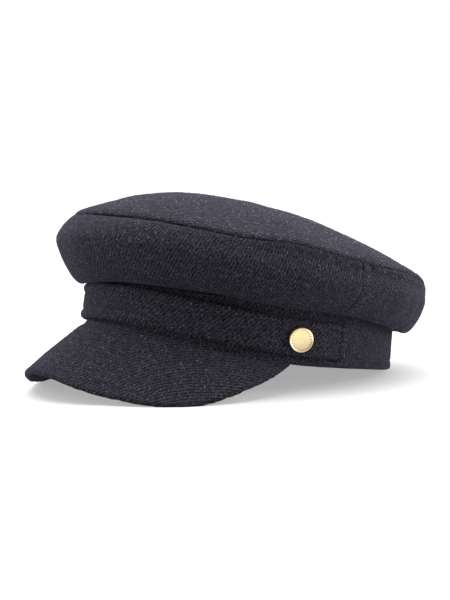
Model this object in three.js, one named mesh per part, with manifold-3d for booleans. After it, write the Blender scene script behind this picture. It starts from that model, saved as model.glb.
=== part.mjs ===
// A peaked cap of wool twill: a soft crown that stands out over an upright headband, a strap across the front
// with a flat button at each side, and a stiff peak. Millimetres, +Z up, the peak towards -Y.
// The cap lies on a flat surface on the low points of its peak and the back of its headband, so the headband
// is pitched up at the front. The origin is the middle of the cap's footprint box, on that surface.

import * as THREE from 'three';
import Module from 'manifold-3d';
import { LoftGeometry } from 'three/addons/geometries/LoftGeometry.js';
import { mergeVertices } from 'three/addons/utils/BufferGeometryUtils.js';

const wasm = await Module();
wasm.setup();

// Left between pieces that are sewn or pressed together
const gap = 0.3;
// How far the cloth is pressed flat where the cap rests
const settle = 0.6;

// Headband: an upright oval, with its lower edge arched up over the peak
const bandLength = 211.5;
const bandWidth = 165;
const bandWall = 2.5;
const bandHeightFront = 36;
const bandHeightSide = 35.5;
const bandHeightBack = 26;
const bandArch = 11;
// How far the back leans in for each millimetre up
const backLean = 0.07;

// Crown: how far it stands out over the headband, and how high its rim seam is over the headband's top
const crownWall = 2;
const overhangFront = 25.5;
const overhangSide = 23.5;
const overhangBack = 18;
const crownRiseFront = 41;
const crownRiseSide = 34.5;
const crownRiseBack = 24;
const domeRise = 29;
const domeForward = 22;
// Degrees from the front to the upright seam between the two side panels
const panelSeam = 96;

// Strap: lies over the headband across the front
const strapWall = 3;
const strapHeight = 22;
const strapAboveEdgeFront = 0.6;
const strapAboveEdgeSide = 4;
// Degrees from the front to the strap's end
const strapReach = 102;

// Buttons: flat discs with a raised rim, this far from the strap's ends
const buttonDiameter = 15.3;
const buttonThickness = 2.6;
const buttonBevel = 0.5;
const buttonRim = 1.2;
const buttonDish = 0.5;
const buttonFromEnd = 36;
const buttonBelowMiddle = 0.9;

// Peak: slopes down and out from the front of the headband
const peakLength = 55;
const peakDrop = 39;
const peakReach = 80.5;
const peakWall = 3.4;
const peakLip = 4.4;
const peakBelly = 1.2;
// How fast the lip thickens with the peak's length, and how far its round nose reaches, as a share of its
// thickness
const lipGrowth = 0.1;
const noseReach = 0.4;

// Crown profile from the headband's inner edge up to the rim seam. The out columns are shares of the overhang
// and the up columns shares of the crown's rise, at the front, the side and the back.
const crownRows = [
  // fold over the headband
  { frontOut: 0.22, frontUp: -0.03, sideOut: 0.24, sideUp: -0.01, backOut: 0.52, backUp: -0.16 },
  // roll under the crown
  { frontOut: 0.61, frontUp: 0.06, sideOut: 0.78, sideUp: 0.23, backOut: 0.76, backUp: 0.13 },
  // widest
  { frontOut: 1.00, frontUp: 0.56, sideOut: 1.00, sideUp: 0.49, backOut: 1.00, backUp: 0.66 },
  // shoulder
  { frontOut: 0.86, frontUp: 0.79, sideOut: 0.92, sideUp: 0.77, backOut: 0.98, backUp: 0.86 },
  // rim
  { frontOut: 0.57, frontUp: 1.00, sideOut: 0.88, sideUp: 1.00, backOut: 0.88, backUp: 1.00 },
];

// Soft dents and sags of the crown: where they are in degrees from the front, how wide, and how far the fold
// over the headband and the rim seam move up, as shares of the crown's rise at the side
const crownSags = [
  { at: -135, wide: 14, fold: -0.05, rim: 0.05 },
  { at: -106, wide: 14, fold: -0.05, rim: -0.06 },
  { at: -72, wide: 14, fold: -0.05, rim: 0.06 },
  { at: -45, wide: 16, fold: -0.04, rim: -0.03 },
  { at: -22, wide: 14, fold: -0.084, rim: 0 },
  { at: 20, wide: 12, fold: 0.033, rim: 0.021 },
  { at: 45, wide: 16, fold: 0.094, rim: 0.063 },
  { at: 60, wide: 11, fold: 0, rim: -0.081 },
  { at: 72, wide: 14, fold: -0.089, rim: 0.134 },
  { at: 88, wide: 10, fold: 0, rim: -0.054 },
  { at: 106, wide: 14, fold: -0.084, rim: -0.06 },
  { at: 135, wide: 14, fold: -0.111, rim: 0.05 },
];

// Where the strap rides up or down, in degrees from the front, how wide, and how far
const strapShifts = [
  { at: -25, wide: 20, up: -0.6 },
  { at: 38, wide: 20, up: 1.2 },
];

// Peak from its middle to its end: where, as a share of its reach, how long, as a share of its length, and
// how steep, as a share of its drop
const peakRows = [
  { at: 0, long: 1.00, steep: 1.00 },
  { at: 0.3, long: 0.955, steep: 1.33 },
  { at: 0.6, long: 0.835, steep: 1.30 },
  { at: 0.85, long: 0.38, steep: 1.15 },
  { at: 1, long: 0.05, steep: 1.15 },
];

// Mesh steps
const wallStep = 6;
const samplesPerRow = 2;
const peakStep = 4;
const peakSteps = 5;
const buttonSides = 36;
const mergeDistance = 1e-4;
const domeShares = [0, 0.08, 0.2, 0.36, 0.54, 0.72, 0.88, 1];

const rad = THREE.MathUtils.degToRad;
const halfLength = bandLength / 2;
const halfWidth = bandWidth / 2;

// A value that changes smoothly round the cap, from its front, side and back values
function around(degrees, front, side, back) {
  const c = Math.cos(rad(degrees));
  return side + ((c > 0 ? front : back) - side) * c * c;
}

// Outward direction of the headband's oval at an angle from the front
function outward(degrees) {
  const s = Math.sin(rad(degrees));
  const c = Math.cos(rad(degrees));
  return new THREE.Vector3(halfLength * s, -halfWidth * c, 0).normalize();
}

// Point this far out from the headband's outer face, and this far up from its lower edge's plane. The back
// leans in as it rises.
function at(degrees, out, up) {
  const foot = new THREE.Vector3(
    halfWidth * Math.sin(rad(degrees)),
    -halfLength * Math.cos(rad(degrees)),
    up,
  );
  return foot.addScaledVector(outward(degrees), out - around(degrees, 0, 0, backLean) * up);
}

// Height of the headband's lower edge
function bandFoot(degrees) {
  return around(degrees, bandArch, 0, 0);
}

// Height of the headband's top edge
function bandTop(degrees) {
  return around(degrees, bandHeightFront, bandHeightSide, bandHeightBack);
}

// Sum of a column of a table of soft bumps at an angle, each one highest at its own angle
function bumps(rows, column, degrees) {
  const fromFront = degrees > 180 ? degrees - 360 : degrees;
  const shape = (row) => Math.exp(-0.5 * ((fromFront - row.at) / row.wide) ** 2);
  return rows.reduce((sum, row) => sum + row[column] * shape(row), 0);
}

// Height of the strap's lower edge
function strapFoot(degrees) {
  const above = around(degrees, strapAboveEdgeFront, strapAboveEdgeSide, strapAboveEdgeSide);
  return bandFoot(degrees) + above + bumps(strapShifts, 'up', degrees);
}

// Angles from first to last. Those between are the same for every piece, so that flat facets lie side by
// side.
function angles(first, last, step = wallStep) {
  const between = [];
  const margin = step / 4;
  for (let t = Math.ceil((first + margin) / step) * step; t < last - margin; t += step) {
    between.push(t);
  }
  return [first, ...between, last];
}

// Closed solid through a row of sections. It has no ends to close where its last section meets its first, or
// where both are drawn in to a point.
function loftSolid(sections, hasEnds = true) {
  return closedMesh(new LoftGeometry(sections, { capStart: hasEnds, capEnd: hasEnds }));
}

// The same surface with its doubled corners merged, its closed-up triangles dropped and its faces pointing
// out
function closedMesh(surface) {
  const bare = new THREE.BufferGeometry();
  bare.setAttribute('position', surface.attributes.position);
  bare.setIndex(surface.index);
  return facingOut(withoutSlivers(mergeVertices(bare, mergeDistance)));
}

// Turns every face round if the closed mesh is inside out, which a negative volume shows
function facingOut(geometry) {
  const index = geometry.index.array;
  const position = geometry.attributes.position;
  const a = new THREE.Vector3();
  const b = new THREE.Vector3();
  const c = new THREE.Vector3();
  let volume = 0;
  for (let i = 0; i < index.length; i += 3) {
    a.fromBufferAttribute(position, index[i]);
    b.fromBufferAttribute(position, index[i + 1]);
    c.fromBufferAttribute(position, index[i + 2]);
    volume += a.dot(b.cross(c));
  }
  if (volume < 0) {
    for (let i = 0; i < index.length; i += 3) {
      [index[i], index[i + 1]] = [index[i + 1], index[i]];
    }
  }
  return geometry;
}

// Headband, with a level section at each angle
function headbandGeometry() {
  const sections = angles(0, 360).map((t) => [
    at(t, -bandWall, bandFoot(t)),
    at(t, 0, bandFoot(t)),
    at(t, 0, bandTop(t)),
    at(t, -bandWall, bandTop(t)),
  ]);
  return loftSolid(sections, false);
}

// Strap over the headband, with rounded edges
function strapGeometry() {
  const inner = gap;
  const outer = gap + strapWall;
  const sections = angles(-strapReach, strapReach).map((t) => {
    const low = strapFoot(t);
    const high = low + strapHeight;
    const round = strapWall / 2;
    return [
      at(t, inner, low),
      at(t, outer - round, low),
      at(t, outer, low + round),
      at(t, outer, high - round),
      at(t, outer - round, high),
      at(t, inner, high),
    ].reverse();
  });
  return loftSolid(sections);
}

// How far the sags move a point of the crown up at an angle, for the fold or the rim column
function sag(degrees, column) {
  return crownRiseSide * bumps(crownSags, column, degrees);
}

// Control points of the crown's outer face at an angle: out from the headband, and up
function crownRow(degrees, row, index) {
  const overhang = around(degrees, overhangFront, overhangSide, overhangBack);
  const rise = around(degrees, crownRiseFront, crownRiseSide, crownRiseBack);
  const out = around(degrees, row.frontOut, row.sideOut, row.backOut) * overhang;
  const up = around(degrees, row.frontUp, row.sideUp, row.backUp) * rise;
  const towardsRim = index / (crownRows.length - 1);
  const moved = (1 - towardsRim) * sag(degrees, 'fold') + towardsRim * sag(degrees, 'rim');
  return new THREE.Vector2(out, crownSeat(degrees) + up + moved);
}

// Height of the crown's cloth where it lies on the headband's top edge
function crownSeat(degrees) {
  return bandTop(degrees) + gap;
}

// Outer face of the crown's side at an angle, as points (out, up) from its seat to just under the rim. Over
// the headband it never dips under its seat.
function crownProfile(degrees) {
  const seat = crownSeat(degrees);
  const rows = [
    new THREE.Vector2(-bandWall, seat),
    new THREE.Vector2(0, seat),
    ...crownRows.map((row, i) => crownRow(degrees, row, i)),
  ];
  rows.at(-1).y -= crownWall + gap;
  const points = new THREE.SplineCurve(rows).getPoints((rows.length - 1) * samplesPerRow);
  points.slice(0, samplesPerRow + 1).forEach((point) => {
    point.y = Math.max(point.y, seat);
  });
  return points;
}

// The same points moved in by the wall, square to the profile
function movedIn(points, wall) {
  return points.map((point, i) => {
    const before = points[Math.max(i - 1, 0)];
    const after = points[Math.min(i + 1, points.length - 1)];
    const along = new THREE.Vector2().subVectors(after, before).normalize();
    return new THREE.Vector2(point.x - along.y * wall, point.y + along.x * wall);
  });
}

// Side panel of the crown between two angles
function crownSideGeometry(first, last) {
  const sections = angles(first, last).map((t) => {
    const outer = crownProfile(t);
    const inner = movedIn(outer, crownWall).reverse();
    return [...outer, ...inner].map((point) => at(t, point.x, point.y)).reverse();
  });
  return loftSolid(sections);
}

// Top panel: a low dome whose high point is forward of the middle
function crownTopGeometry() {
  const turn = angles(0, 360).slice(0, -1);
  const rim = turn.map((t) => {
    const edge = crownRow(t, crownRows.at(-1), crownRows.length - 1);
    return at(t, edge.x, edge.y);
  });
  const middle = rim.reduce((sum, point) => sum.add(point), new THREE.Vector3()).divideScalar(rim.length);
  middle.y -= domeForward;
  const ring = (share, down) =>
    rim.map((point) => {
      const moved = point.clone().lerp(middle, share);
      moved.z += domeRise * (1 - (1 - share) ** 2) - down;
      return moved;
    });
  const outside = domeShares.map((share) => ring(share, 0));
  const inside = domeShares.map((share) => ring(share, crownWall)).reverse();
  return loftSolid([...inside, ...outside], false);
}

// A column of the peak's table at a share of its reach, on a smooth curve that is level at the middle
function peakValue(share, column) {
  const rows = peakRows;
  const i = Math.min(rows.findLastIndex((row) => row.at <= share), rows.length - 2);
  const slope = (k) => {
    if (k === 0) return 0;
    const [a, b] = [rows[k - 1], rows[Math.min(k + 1, rows.length - 1)]];
    return (b[column] - a[column]) / (b.at - a.at);
  };
  const width = rows[i + 1].at - rows[i].at;
  const u = (share - rows[i].at) / width;
  const leaving = (2 * u ** 3 - 3 * u ** 2 + 1) * rows[i][column];
  const arriving = (3 * u ** 2 - 2 * u ** 3) * rows[i + 1][column];
  const bend = (u ** 3 - 2 * u ** 2 + u) * slope(i) + (u ** 3 - u ** 2) * slope(i + 1);
  return leaving + arriving + width * bend;
}

// Section of the peak at an angle: its upper face, its rounded lip and its under face. The under face starts
// straight below the headband's inner face.
function peakSection(degrees) {
  const share = Math.abs(degrees) / peakReach;
  const length = peakLength * peakValue(share, 'long');
  const slope = rad(peakDrop * peakValue(share, 'steep'));
  const seat = bandFoot(degrees) - gap;
  const lip = Math.min(peakLip, peakWall + length * lipGrowth);
  const along = new THREE.Vector2(Math.cos(slope), -Math.sin(slope));
  const square = new THREE.Vector2(Math.sin(slope), Math.cos(slope));
  const point = (reach, raise) =>
    new THREE.Vector2(0, seat).addScaledVector(along, reach).addScaledVector(square, raise);
  const steps = Array.from({ length: peakSteps }, (_, i) => (i + 1) / peakSteps);
  const belly = peakBelly * (length / peakLength);
  const arch = (k) => belly * 4 * k * (1 - k);
  const wall = (k) => peakWall + (lip - peakWall) * k ** 3;
  const underStart = (peakWall * square.x - bandWall) / along.x;
  const body = Math.max(length - lip / 2, underStart + gap);
  const upper = steps.map((k) => point(body * k, arch(k)));
  const under = [0, ...steps].map((k) => point(underStart + (body - underStart) * k, arch(k) - wall(k)));
  const nose = [1 / 4, 3 / 4].map((share) => point(body + lip * noseReach, -lip * share));
  const seatFace = [new THREE.Vector2(-bandWall, seat), new THREE.Vector2(0, seat)];
  return [...seatFace, ...upper, ...nose, ...under.reverse()].map((p) => at(degrees, p.x, p.y));
}

// Peak
function peakGeometry() {
  return loftSolid(angles(-peakReach, peakReach, peakStep).map(peakSection));
}

// Button, turned about +Y, its back at the origin
function buttonGeometry() {
  const radius = buttonDiameter / 2;
  const face = buttonThickness - buttonDish;
  const profile = [
    [0, 0],
    [radius - buttonBevel, 0],
    [radius, buttonBevel],
    [radius, buttonThickness - buttonBevel],
    [radius - buttonBevel, buttonThickness],
    [radius - buttonRim, buttonThickness],
    [radius - buttonRim - buttonDish, face],
    [0, face],
  ].map(([r, y]) => new THREE.Vector2(r, y));
  return closedMesh(new THREE.LatheGeometry(profile, buttonSides));
}

// Drops the triangles that merging has closed up at an axis
function withoutSlivers(geometry) {
  const index = Array.from(geometry.index.array);
  const kept = [];
  for (let i = 0; i < index.length; i += 3) {
    const [a, b, c] = index.slice(i, i + 3);
    if (a !== b && b !== c && c !== a) kept.push(a, b, c);
  }
  geometry.setIndex(kept);
  return geometry;
}

// Seats a button on the strap's outer face, on the side that the sign gives
function placeButton(mesh, side) {
  const fromEnd = THREE.MathUtils.radToDeg(buttonFromEnd / halfLength);
  const degrees = side * (strapReach - fromEnd);
  const middle = strapFoot(degrees) + strapHeight / 2 - buttonBelowMiddle;
  mesh.position.copy(at(degrees, gap + strapWall + gap, middle));
  mesh.quaternion.setFromUnitVectors(new THREE.Vector3(0, 1, 0), outward(degrees));
}

// Cuts a closed mesh with another one
function cutAway(geometry, cutter) {
  const solids = [geometry, cutter].map(
    (part) =>
      new wasm.Manifold(
        new wasm.Mesh({
          numProp: 3,
          vertProperties: new Float32Array(part.attributes.position.array),
          triVerts: new Uint32Array(part.index.array),
        }),
      ),
  );
  const left = solids[0].subtract(solids[1]).getMesh();
  const result = new THREE.BufferGeometry();
  result.setAttribute('position', new THREE.BufferAttribute(left.vertProperties, 3));
  result.setIndex(Array.from(left.triVerts));
  return result;
}

// Lowest height of a mesh's corners once the cap is pitched up by an angle
function lowest(geometry, pitch) {
  const corner = new THREE.Vector3();
  const position = geometry.attributes.position;
  const turn = new THREE.Euler(-pitch, 0, 0);
  let height = Infinity;
  for (let i = 0; i < position.count; i += 1) {
    corner.fromBufferAttribute(position, i).applyEuler(turn);
    height = Math.min(height, corner.z);
  }
  return height;
}

// Pitch at which the peak and the headband reach equally low
function restingPitch(peak, headband) {
  let [low, high] = [0, Math.PI / 4];
  for (let i = 0; i < 50; i += 1) {
    const middle = (low + high) / 2;
    if (lowest(peak, middle) < lowest(headband, middle)) low = middle;
    else high = middle;
  }
  return (low + high) / 2;
}

// Everything under the surface that the cap lies on, in the pitched cap's own frame
function groundBlock(cap) {
  const reach = 4 * bandLength;
  const ground = new THREE.BoxGeometry(reach, reach, bandLength);
  ground.translate(0, 0, -bandLength / 2);
  ground.applyMatrix4(cap.matrixWorld.clone().invert());
  return closedMesh(ground);
}

const wool = { color: 0x35343a, roughness: 0.95, metalness: 0 };
const gilt = { color: 0xd8b45c, roughness: 0.3, metalness: 1 };

// Adds a named mesh with its own material
function add(group, name, geometry, finish) {
  const mesh = new THREE.Mesh(geometry, new THREE.MeshStandardMaterial(finish));
  mesh.name = name;
  group.add(mesh);
  return mesh;
}

// Half the opening between the side panels, in degrees at the headband's side
const halfOpening = THREE.MathUtils.radToDeg(gap / bandWidth);

const cap = new THREE.Group();
add(cap, 'crown_top', crownTopGeometry(), wool);
add(cap, 'crown_side_front', crownSideGeometry(-panelSeam + halfOpening, panelSeam - halfOpening), wool);
add(cap, 'crown_side_back', crownSideGeometry(panelSeam + halfOpening, 360 - panelSeam - halfOpening), wool);
const headband = add(cap, 'headband', headbandGeometry(), wool);
add(cap, 'strap', strapGeometry(), wool);
const peak = add(cap, 'peak', peakGeometry(), wool);
placeButton(add(cap, 'button_left', buttonGeometry(), gilt), 1);
placeButton(add(cap, 'button_right', buttonGeometry(), gilt), -1);

// Lays the cap on the surface and flattens what touches it
const pitch = restingPitch(peak.geometry, headband.geometry);
cap.rotation.x = -pitch;
cap.position.z = -lowest(headband.geometry, pitch) - settle;
cap.updateMatrixWorld(true);
const ground = groundBlock(cap);
headband.geometry = cutAway(headband.geometry, ground);
peak.geometry = cutAway(peak.geometry, ground);

// Brings the middle of the footprint box to the origin
const part = new THREE.Group();
part.add(cap);
part.updateMatrixWorld(true);
const middle = new THREE.Box3().setFromObject(part, true).getCenter(new THREE.Vector3());
cap.position.x -= middle.x;
cap.position.y -= middle.y;

export default part;
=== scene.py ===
# A soft peaked cap of charcoal wool twill, resting on its peak and the back of its headband.
# Sizes are in millimetres in the cap's own frame: front -Y, +X the wearer's left, +Z up. Each angle is in
# degrees from the front towards +X. The function placed() tips the cap onto the floor and turns
# millimetres to metres.
import functools
import math
import random

import bmesh
import bpy
from mathutils import Matrix, Vector, noise


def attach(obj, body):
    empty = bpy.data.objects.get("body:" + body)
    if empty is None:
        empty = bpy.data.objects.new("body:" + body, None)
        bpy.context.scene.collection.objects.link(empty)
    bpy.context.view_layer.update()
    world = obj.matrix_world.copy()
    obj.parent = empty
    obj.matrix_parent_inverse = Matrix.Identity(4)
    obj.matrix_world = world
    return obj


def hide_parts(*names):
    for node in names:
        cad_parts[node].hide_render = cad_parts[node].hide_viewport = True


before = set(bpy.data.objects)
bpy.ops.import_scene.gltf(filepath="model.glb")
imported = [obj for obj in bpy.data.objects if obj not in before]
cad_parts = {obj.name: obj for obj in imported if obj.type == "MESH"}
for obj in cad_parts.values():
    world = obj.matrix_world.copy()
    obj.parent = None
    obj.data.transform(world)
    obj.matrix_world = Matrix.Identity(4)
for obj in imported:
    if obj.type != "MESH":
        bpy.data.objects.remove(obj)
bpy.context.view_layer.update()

# How the cap lies
PITCH = math.radians(9.75)
SHIFT = Vector((0, 11.386, 17.301))
MM = 0.001

# Headband
BAND_LENGTH = 211.5
BAND_WIDTH = 165
BAND_WALL = 2.5
BAND_ROUND = 1.1
# How far its lower edge arches up over the peak, and how high its top edge is
BAND_ARCH = 11
BAND_TOP = dict(front=36, side=35.5, back=26)
# How far its back leans in, for each millimetre up
BACK_LEAN = 0.07
# How high its hem line is, how deep and wide the line's groove is, and the roll of cloth under it
BAND_HEM = 5.5
HEM_GROOVE = dict(deep=0.55, wide=0.7)
HEM_ROLL = dict(high=0.3, wide=2.2)

# Gap between two pieces
GAP = 0.3

# Places where the headband's lower edge hangs down: the angle, how wide, and how far
BAND_DIPS = (
    dict(at=-78, wide=22, down=1.9),
    dict(at=78, wide=22, down=1.9),
)

# Crown: how far it stands out over the headband, and how high its rim is above it
CROWN_WALL = 2
OVERHANG = dict(front=25.5, side=23.5, back=18)
CROWN_RISE = dict(front=41, side=34.5, back=24)
# How high the top panel's dome is, and how far its middle is in front of the rim's
DOME_RISE = 29
DOME_FORWARD = 22
# The upright seams are at this angle on both sides
PANEL_SEAM = 96

# Rows of the crown's side from its fold over the headband to its rim, as shares of its overhang and rise
CROWN_ROWS = (
    dict(front_out=0.22, front_up=-0.045, side_out=0.24, side_up=-0.01, back_out=0.50, back_up=-0.08),
    dict(front_out=0.52, front_up=0.065, side_out=0.78, side_up=0.23, back_out=0.77, back_up=0.19),
    dict(front_out=0.985, front_up=0.52, side_out=1, side_up=0.49, back_out=0.965, back_up=0.60),
    dict(front_out=0.875, front_up=0.79, side_out=0.92, side_up=0.77, back_out=1.025, back_up=0.80),
    dict(front_out=0.57, front_up=1, side_out=0.88, side_up=1, back_out=1.02, back_up=0.965),
)

# Places where the crown sags: the angle, how wide, and how far the fold and the rim move, as shares of
# its rise
CROWN_SAGS = (
    dict(at=-135, wide=14, fold=-0.05, rim=0.05),
    dict(at=-106, wide=14, fold=-0.05, rim=-0.06),
    dict(at=-72, wide=14, fold=-0.05, rim=0.06),
    dict(at=-45, wide=16, fold=-0.04, rim=-0.03),
    dict(at=-22, wide=14, fold=-0.084, rim=0),
    dict(at=20, wide=12, fold=0.033, rim=0.021),
    dict(at=45, wide=16, fold=0.094, rim=0.063),
    dict(at=60, wide=11, fold=0, rim=-0.081),
    dict(at=72, wide=14, fold=-0.089, rim=0.134),
    dict(at=88, wide=10, fold=0, rim=-0.054),
    dict(at=106, wide=14, fold=-0.084, rim=-0.06),
    dict(at=135, wide=14, fold=-0.111, rim=0.05),
)

# Strap: how high it is above the headband's lower edge, and at which angle it ends
STRAP_WALL = 3
STRAP_ROUND = 1.45
STRAP_HEIGHT = 22
STRAP_ABOVE = dict(front=0.6, side=4, back=4)
STRAP_REACH = 102
# How far in its stitched lines are, their grooves, and the rolls along its edges
STRAP_STITCH = 5.75
STRAP_GROOVE = dict(deep=0.6, wide=0.8)
STRAP_ROLL = dict(high=0.9, wide=2.3)

# Places where the strap rides up or down: the angle, how wide, and how far
STRAP_SHIFTS = (
    dict(at=-25, wide=20, up=-0.6),
    dict(at=38, wide=20, up=1.2),
)

# Peak: its length at the middle, how steeply it drops in degrees, and at which angle it ends
PEAK_LENGTH = 55
PEAK_DROP = 39
PEAK_REACH = 80.5
PEAK_WALL = 3.4
# Its lip's thickness, and how fast it thickens towards that
PEAK_LIP = 4.4
LIP_GROWTH = 0.1
# How far its faces bulge up between the root and the lip
PEAK_BELLY = 1.2
# How far its root is sewn up into the headband
PEAK_TUCK = 2.5
# How deep the crease is where it leaves the strap
PEAK_CREASE = 0.8
# How thin it gets at its ends, as a share of its wall, from this share of its reach on
PEAK_THIN = 0.3
PEAK_THIN_FROM = 0.8

# Peak from its middle to its end: where, how long and how steep, as shares of its reach, length and drop
PEAK_ROWS = (
    dict(at=0, long=1, steep=1),
    dict(at=0.3, long=0.955, steep=1.33),
    dict(at=0.6, long=0.835, steep=1.30),
    dict(at=0.85, long=0.38, steep=1.15),
    dict(at=1, long=0.05, steep=1.15),
)

# Where each part of the peak's outline ends, as shares of the way round it
UNDER_END = 0.3
LIP_END = 0.45
UPPER_END = 0.92
ROOT_END = 0.96
# Its upper face shows up to here, short of the strap
SHOWN_END = 0.9

# Lumps of the cloth folded round the peak's lip: how long and how high
LIP_LUMPS = (
    dict(long=3.2, high=0.45, seed=61),
    dict(long=9, high=0.35, seed=63),
)

# Button: its place is how far in from the strap's end and how far under the strap's middle it is
BUTTON_DIAMETER = 15.3
BUTTON_THICKNESS = 2.6
BUTTON_BEVEL = 0.5
BUTTON_RIM = 0.8
BUTTON_DISH = 0.35
BUTTON_FROM_END = 36
BUTTON_BELOW_MIDDLE = 0.9
SHANK_RADIUS = 3
SHANK_LENGTH = 2.6
# The ring of dots: how many, how far inside the rim, and how large along each axis
BUTTON_DOTS = 22
DOT_INSET = 0.75
DOT_SIZE = (0.42, 0.3, 0.18)
# Sewn loosely, it turns a little towards the front, in degrees, and stands off the strap
BUTTON_TURN = 11
BUTTON_LIFT = 0.8

# How far the top panel turns down over the rim to its seam, how far in the turn reaches, and how round the
# rim is
RIM_TURN = 2.3
RIM_ROLL = 2.2
RIM_ROUND = 1.5
# How far the side panels go on under it
SEAM_ALLOWANCE = 4
# Steps from one of the crown's rows to the next
LINE_STEPS = 12

# A seam's groove, and the puff of cloth beside it: how high, how far from the seam, and how wide
SEAM_DEPTH = 1.5
SEAM_WIDE = 0.9
PUFF = 0.55
PUFF_FROM = 3.4
PUFF_WIDE = 2.0
# How strong that is at the rim seam, the upright seams and the headband's join
RIM_SEAM = 0.27
UPRIGHT_SEAM = 0.36
BAND_JOIN = 0.6
# The upright seams fade out over the last stretch down to the headband
SEAM_FADE = 25
# About how far it is round the crown for each degree
CROWN_DEGREE = 2.2

# Stitches, and how far they are sunk into the strap and the headband
STITCH_PITCH = 3.0
STITCH_LENGTH = 2.1
STITCH_THICK = 0.5
STRAP_SUNK = 0.35
HEM_SUNK = 0.3

# How much longer round than the headband the cloth of the side panels and the top panel is
SIDE_GIRTH = 1.22
TOP_GIRTH = 1.2

# Puckers that the crown's seams gather: how high, how far they reach from the seam, and how long each one is
RIM_PUCKER = dict(high=0.4, reach=7, long=6.5)
END_PUCKER = dict(high=0.2, reach=7, long=9)
TOP_PUCKER = dict(high=0.4, reach=8, long=7.5)

# Soft lumps of the cloth by itself: how wide and how high, and what is added to their seed
CLOTH_LUMPS = (
    dict(wide=38, high=0.9, seed=0),
    dict(wide=13, high=0.35, seed=5),
    dict(wide=4.5, high=0.1, seed=9),
)
# They grow over this stretch from the crown's fold, and over this one from its rim
FOLD_HELD = 12
RIM_HELD = 10

# Corners of a mesh that are nearer than this are one
MERGE = 0.02

# Loose fibres: how long and thick, drawn thicker than real ones so that they show, and how far they keep
# from the floor
NAP_LONG = 1.9
NAP_THICK = 0.26
NAP_CLEAR = 1.5
# They are joined in parts of this many, because adding each one to a large mesh takes long
NAP_PART = 150
# How steeply they stand, as the sine of their angle to the cloth
NAP_LEAST = 0.06
NAP_MOST = 0.55

# Directions of the twill's ribs on each piece's flat cloth, in degrees from along the cap, or from +X
# on the level pieces
GRAIN_SIDE = 57
GRAIN_BACK = 22
GRAIN_BAND = 56
GRAIN_STRAP = 48
GRAIN_TOP = 57
GRAIN_PEAK = 71
# The side panels are cut in an arc of this radius
PANEL_ARC = 650

HALF_LENGTH = BAND_LENGTH / 2
HALF_WIDTH = BAND_WIDTH / 2


def around(degrees, front, side, back):
    """A value that changes smoothly round the cap, from its front, side and back values."""
    c = math.cos(math.radians(degrees))
    return side + ((front if c > 0 else back) - side) * c * c


def at(degrees, out, up):
    """Point this far out from the headband's outer face, and this far up. The back leans in as it rises."""
    s = math.sin(math.radians(degrees))
    c = math.cos(math.radians(degrees))
    outward = Vector((HALF_LENGTH * s, -HALF_WIDTH * c, 0)).normalized()
    foot = Vector((HALF_WIDTH * s, -HALF_LENGTH * c, up))
    return foot + outward * (out - around(degrees, 0, 0, BACK_LEAN) * up)


def placed(point):
    """A point of the cap's own frame where the cap lies on the floor, in metres."""
    y = point.y * math.cos(PITCH) + point.z * math.sin(PITCH)
    z = -point.y * math.sin(PITCH) + point.z * math.cos(PITCH)
    return (Vector((point.x, y, z)) + SHIFT) * MM


def band_foot(degrees):
    """Height of the headband's lower edge."""
    return around(degrees, BAND_ARCH, 0, 0)


def band_top(degrees):
    """Height of the headband's top edge."""
    return around(degrees, **BAND_TOP)


def bumps(rows, column, degrees):
    """Sum of a column of a table of soft bumps at an angle, each one highest at its own angle."""
    from_front = (degrees + 180) % 360 - 180
    return sum(row[column] * math.exp(-0.5 * ((from_front - row["at"]) / row["wide"]) ** 2) for row in rows)


def strap_foot(degrees):
    """Height of the strap's lower edge."""
    return band_foot(degrees) + around(degrees, **STRAP_ABOVE) + bumps(STRAP_SHIFTS, "up", degrees)


def band_edge(degrees):
    """Height of the headband's own lower edge, where its cloth hangs a little."""
    return band_foot(degrees) - bumps(BAND_DIPS, "down", degrees)


@functools.lru_cache(maxsize=None)
def girth_steps():
    """How far it is round the headband from the front, for each whole degree up to 360."""
    lengths = [0.0]
    for degree in range(360):
        lengths.append(lengths[-1] + (at(degree + 1, 0, 0) - at(degree, 0, 0)).length)
    return lengths


def girth(degrees):
    """How far it is round the headband from the front to an angle, negative on the wearer's right."""
    turn = math.floor(degrees / 360)
    within = degrees - 360 * turn
    whole = min(int(within), 359)
    steps = girth_steps()
    return turn * steps[360] + steps[whole] + (within - whole) * (steps[whole + 1] - steps[whole])


def spline(rows, share):
    """Point on the smooth curve through rows of (out, up), at a share of its parts."""
    place = min(max(share, 0.0), 1.0) * (len(rows) - 1)
    i = min(int(place), len(rows) - 2)
    k = place - i
    before = rows[max(i - 1, 0)]
    start = rows[i]
    end = rows[i + 1]
    after = rows[min(i + 2, len(rows) - 1)]
    leave = (end - before) / 2
    arrive = (after - start) / 2
    cubed = (start * 2 - end * 2 + leave + arrive) * k**3
    squared = (end * 3 - start * 3 - leave * 2 - arrive) * k**2
    return cubed + squared + leave * k + start


def sag(degrees, column):
    """How far the sags move a point of the crown up at an angle, for the fold or the rim."""
    return CROWN_RISE["side"] * bumps(CROWN_SAGS, column, degrees)


def crown_row(degrees, index):
    """Point (out, up) of one of the crown's rows at an angle."""
    row = CROWN_ROWS[index]
    overhang = around(degrees, **OVERHANG)
    rise = around(degrees, **CROWN_RISE)
    out = around(degrees, row["front_out"], row["side_out"], row["back_out"]) * overhang
    up = around(degrees, row["front_up"], row["side_up"], row["back_up"]) * rise
    towards_rim = index / (len(CROWN_ROWS) - 1)
    moved = (1 - towards_rim) * sag(degrees, "fold") + towards_rim * sag(degrees, "rim")
    return Vector((out, band_top(degrees) + GAP + up + moved))


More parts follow.
